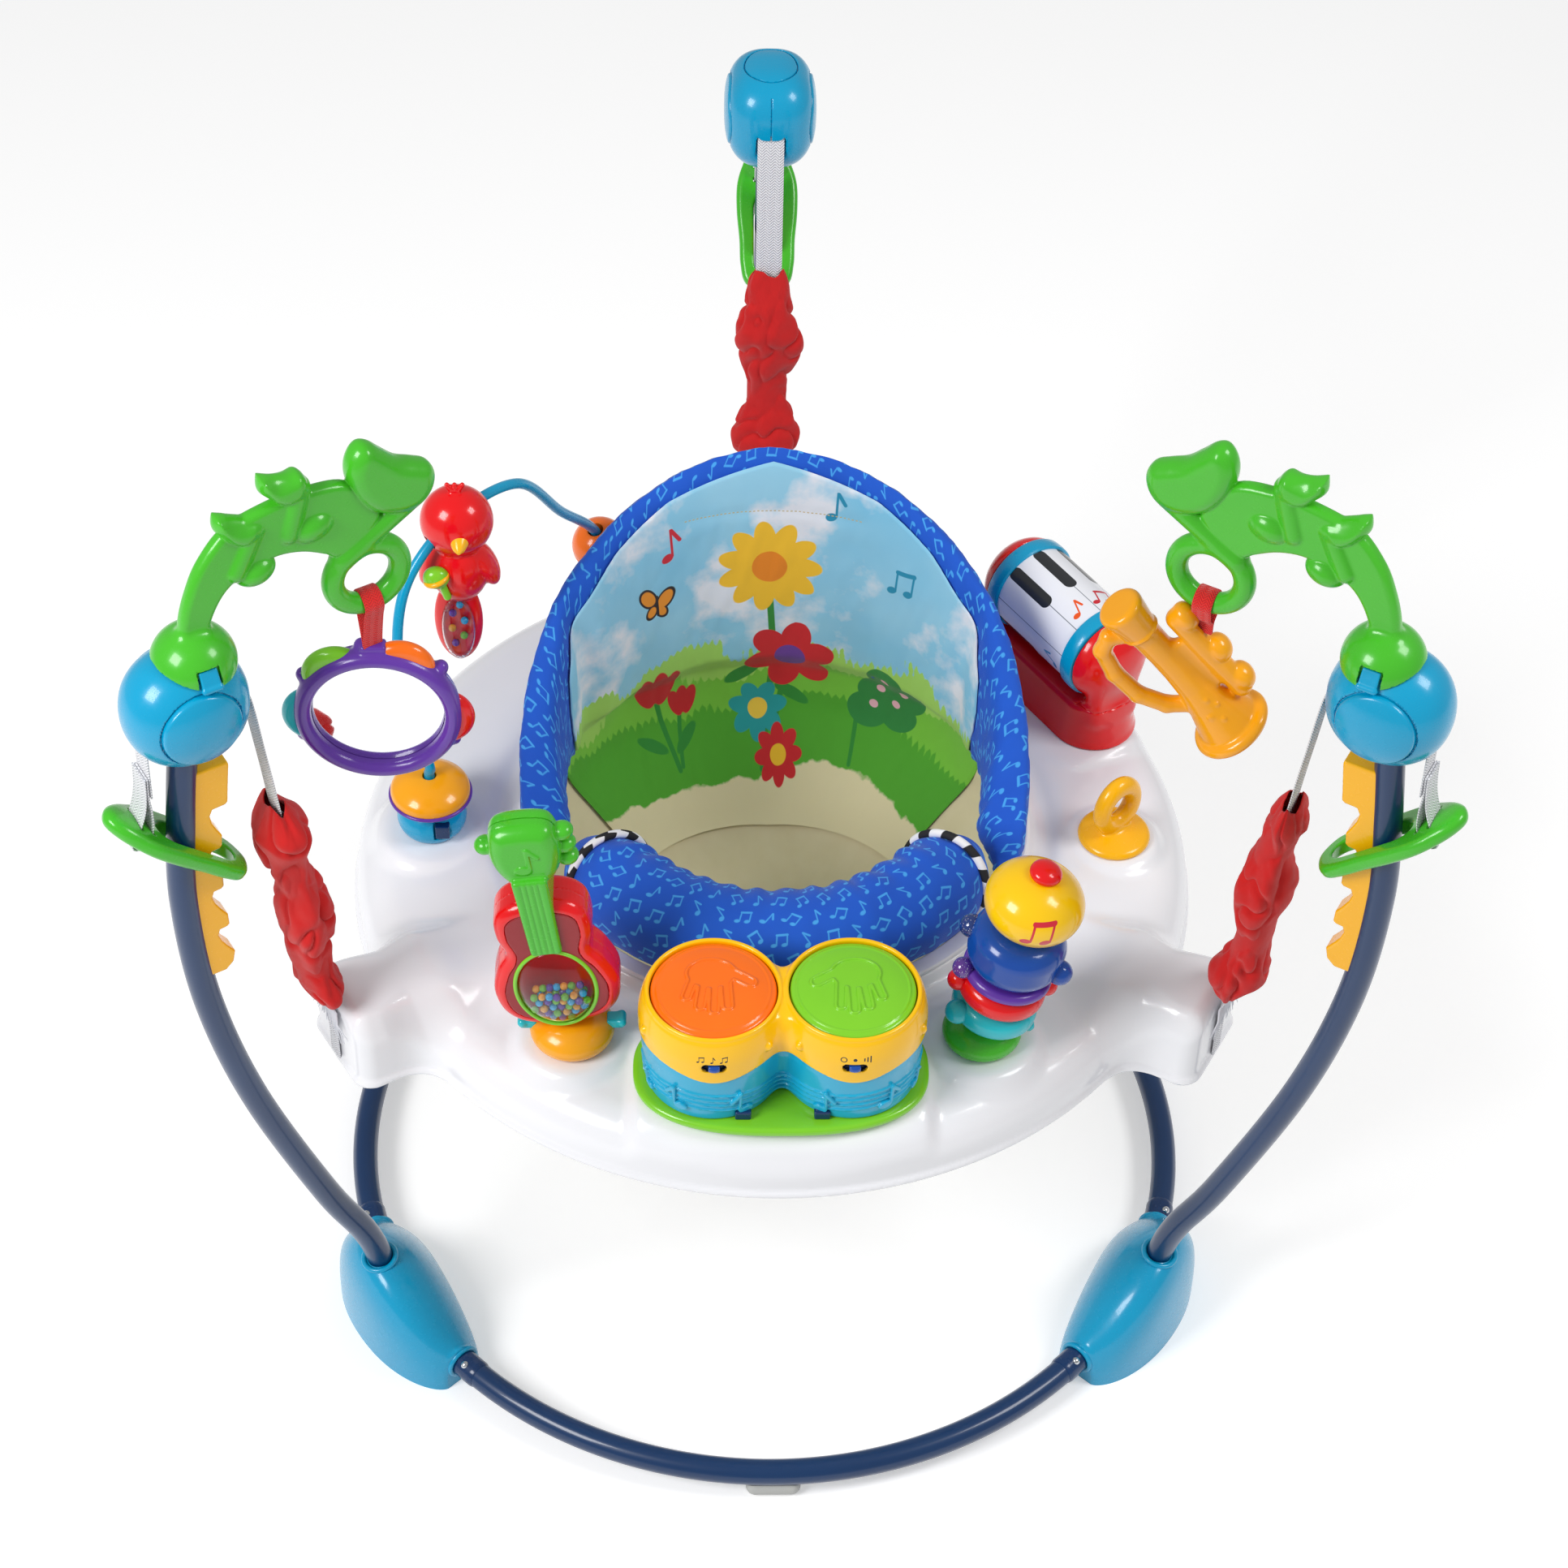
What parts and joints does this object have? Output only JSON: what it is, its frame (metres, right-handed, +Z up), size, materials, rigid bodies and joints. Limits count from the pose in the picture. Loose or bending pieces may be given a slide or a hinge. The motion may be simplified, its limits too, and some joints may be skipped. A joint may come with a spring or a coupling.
{
  "type": "baby activity jumper",
  "caption": "Free-standing baby jumper: a play tray with a turning seat hangs on sprung straps from bent posts on a floor ring, with music toys round it.",
  "frame": {"origin": "on the floor, under the middle of the whole object's box", "axes": "+Z up, -Y is the front that the seated child faces, +X is to the right of a viewer who stands in front and looks at the child"},
  "size_m": [0.9708, 0.9311, 0.971],
  "materials": {
    "navy_enamel": "glossy powder-coated steel tube",
    "sky_blue_plastic": "glossy moulded plastic",
    "white_plastic": "satin moulded plastic",
    "yellow_plastic": "glossy moulded plastic",
    "green_plastic": "glossy moulded plastic",
    "lime_plastic": "glossy moulded plastic",
    "red_plastic": "glossy moulded plastic",
    "orange_plastic": "glossy moulded plastic",
    "purple_plastic": "glossy moulded plastic",
    "dark_blue_plastic": "glossy moulded plastic",
    "grey_rubber": "matt rubber",
    "spring_steel": "drawn spring wire",
    "mirror_film": "polished safety mirror",
    "white_webbing": "woven polyester webbing",
    "red_cloth": "gathered woven cloth",
    "blue_cloth": "printed polyester cloth over foam",
    "sand_cloth": "plain woven cloth"
  },
  "bodies": {
    "frame": {"base_tube_front": "navy_enamel", "base_tube_left": "navy_enamel", "base_tube_right": "navy_enamel", "base_pad": "grey_rubber", "foot_left": "sky_blue_plastic", "foot_right": "sky_blue_plastic", "foot_rear": "sky_blue_plastic", "post_left": "navy_enamel", "post_right": "navy_enamel", "post_rear": "navy_enamel", "head_left": "sky_blue_plastic", "head_right": "sky_blue_plastic", "head_rear": "sky_blue_plastic", "rack_left": "yellow_plastic", "rack_right": "yellow_plastic", "rack_rear": "yellow_plastic", "leaf_arm_left": "green_plastic", "leaf_arm_right": "green_plastic", "webbing_left": "white_webbing", "webbing_right": "white_webbing", "webbing_rear": "white_webbing"},
    "suspension": {"coil_spring_left": "spring_steel", "coil_spring_right": "spring_steel", "coil_spring_rear": "spring_steel", "spring_sleeve_left": "red_cloth", "spring_sleeve_right": "red_cloth", "spring_sleeve_rear": "red_cloth"},
    "slider_left": {"slider_left": "green_plastic"},
    "slider_right": {"slider_right": "green_plastic"},
    "slider_rear": {"slider_rear": "green_plastic"},
    "tray": {"tray": "white_plastic", "drum_base_plate": "green_plastic", "drum_body": "sky_blue_plastic", "drum_bezel": "yellow_plastic", "piano_base": "red_plastic", "guitar_base": "yellow_plastic", "stack_base": "green_plastic", "arch_tube": "sky_blue_plastic"},
    "seat": {"seat_ring": "white_plastic", "seat_back_pad": "blue_cloth", "seat_front_roll": "blue_cloth", "seat_liner": "sand_cloth"},
    "drum_pad_left": {"drum_pad_left": "orange_plastic"},
    "drum_pad_right": {"drum_pad_right": "lime_plastic"},
    "drum_switch_left": {"drum_switch_left": "dark_blue_plastic"},
    "drum_switch_right": {"drum_switch_right": "dark_blue_plastic"},
    "piano_roller": {"piano_roller": "white_plastic"},
    "loop_toy": {"loop_toy": "yellow_plastic"},
    "guitar": {"guitar_body": "red_plastic"},
    "stack_ring_lower": {"stack_ring_lower": "sky_blue_plastic"},
    "stack_ring_upper": {"stack_ring_upper": "dark_blue_plastic"},
    "stack_ball": {"stack_ball": "yellow_plastic"},
    "cymbal": {"cymbal_toy": "yellow_plastic"},
    "arch_bead": {"arch_bead": "orange_plastic"},
    "arch_bird": {"arch_bird": "red_plastic"},
    "mirror": {"mirror_frame": "purple_plastic", "mirror_glass": "mirror_film", "mirror_strap": "red_cloth"},
    "trumpet": {"trumpet": "yellow_plastic", "trumpet_strap": "red_cloth"}
  },
  "joints": [
    {"name": "height_adjust", "type": "slide", "parent": "frame", "child": "suspension", "axis": [0, 0, 1], "range_m": [-0.041, 0.082], "deforming": ["webbing_left", "webbing_right", "webbing_rear"]},
    {"name": "slider_left_slide", "type": "slide", "parent": "frame", "child": "slider_left", "axis": [0, 0, 1], "range_m": [-0.082, 0.041]},
    {"name": "slider_right_slide", "type": "slide", "parent": "frame", "child": "slider_right", "axis": [0, 0, 1], "range_m": [-0.082, 0.041]},
    {"name": "slider_rear_slide", "type": "slide", "parent": "frame", "child": "slider_rear", "axis": [0, 0, 1], "range_m": [-0.082, 0.041]},
    {"name": "tray_bounce", "type": "slide", "parent": "suspension", "child": "tray", "axis": [0, 0, 1], "range_m": [-0.1, 0], "stiffness_N_per_m": 1200, "springref_m": 0.06, "deforming": ["coil_spring_left", "coil_spring_right", "coil_spring_rear", "spring_sleeve_left", "spring_sleeve_right", "spring_sleeve_rear"]},
    {"name": "seat_swivel", "type": "hinge", "parent": "tray", "child": "seat", "pos_m": [0, -0.092, 0.437], "axis": [0, 0, 1], "continuous": true},
    {"name": "drum_pad_left_press", "type": "slide", "parent": "tray", "child": "drum_pad_left", "axis": [0, 0, -1], "range_m": [0, 0.0025], "stiffness_N_per_m": 900, "springref_m": -0.002},
    {"name": "drum_pad_right_press", "type": "slide", "parent": "tray", "child": "drum_pad_right", "axis": [0, 0, -1], "range_m": [0, 0.0025], "stiffness_N_per_m": 900, "springref_m": -0.002},
    {"name": "drum_switch_left_slide", "type": "slide", "parent": "tray", "child": "drum_switch_left", "axis": [1, 0, 0], "range_m": [-0.004, 0.004]},
    {"name": "drum_switch_right_slide", "type": "slide", "parent": "tray", "child": "drum_switch_right", "axis": [1, 0, 0], "range_m": [-0.004, 0.004]},
    {"name": "piano_roller_spin", "type": "hinge", "parent": "tray", "child": "piano_roller", "pos_m": [0.24825, 0.06921, 0.5143], "axis": [-0.5446, 0.8387, 0], "continuous": true},
    {"name": "loop_toy_spin", "type": "hinge", "parent": "tray", "child": "loop_toy", "pos_m": [0.28062, -0.10671, 0.4303], "axis": [0, 0, 1], "continuous": true},
    {"name": "guitar_spin", "type": "hinge", "parent": "tray", "child": "guitar", "pos_m": [-0.16118, -0.32218, 0.4303], "axis": [-0.1392, 0, 0.9903], "continuous": true},
    {"name": "stack_ring_lower_spin", "type": "hinge", "parent": "tray", "child": "stack_ring_lower", "pos_m": [0.15713, -0.32496, 0.4303], "axis": [0.1959, 0, 0.9806], "continuous": true},
    {"name": "stack_ring_upper_spin", "type": "hinge", "parent": "tray", "child": "stack_ring_upper", "pos_m": [0.15713, -0.32496, 0.4303], "axis": [0.1959, 0, 0.9806], "continuous": true},
    {"name": "stack_ball_spin", "type": "hinge", "parent": "tray", "child": "stack_ball", "pos_m": [0.15713, -0.32496, 0.4303], "axis": [0.1959, 0, 0.9806], "continuous": true},
    {"name": "cymbal_spin", "type": "hinge", "parent": "tray", "child": "cymbal", "pos_m": [-0.281, -0.092, 0.4653], "axis": [0, 0, 1], "continuous": true},
    {"name": "arch_bead_spin", "type": "hinge", "parent": "tray", "child": "arch_bead", "pos_m": [-0.14519, 0.14345, 0.52903], "axis": [0.1639, 0.2502, -0.9542], "continuous": true},
    {"name": "arch_bird_swing", "type": "hinge", "parent": "tray", "child": "arch_bird", "pos_m": [-0.25572, -0.0112, 0.68823], "axis": [0.6695, 0.6937, 0.2657], "range_deg": [-10, 20]},
    {"name": "mirror_swing", "type": "hinge", "parent": "frame", "child": "mirror", "pos_m": [-0.29705, -0.2635, 0.857], "axis": [0.5, -0.866, 0], "range_deg": [-8, 30]},
    {"name": "trumpet_swing", "type": "hinge", "parent": "frame", "child": "trumpet", "pos_m": [0.29705, -0.2635, 0.857], "axis": [-0.5, -0.866, 0], "range_deg": [-30, 8]}
  ],
  "couplings": [
    {"joint": "slider_left_slide", "follows": "height_adjust", "ratio": -1},
    {"joint": "slider_right_slide", "follows": "height_adjust", "ratio": -1},
    {"joint": "slider_rear_slide", "follows": "height_adjust", "ratio": -1}
  ]
}
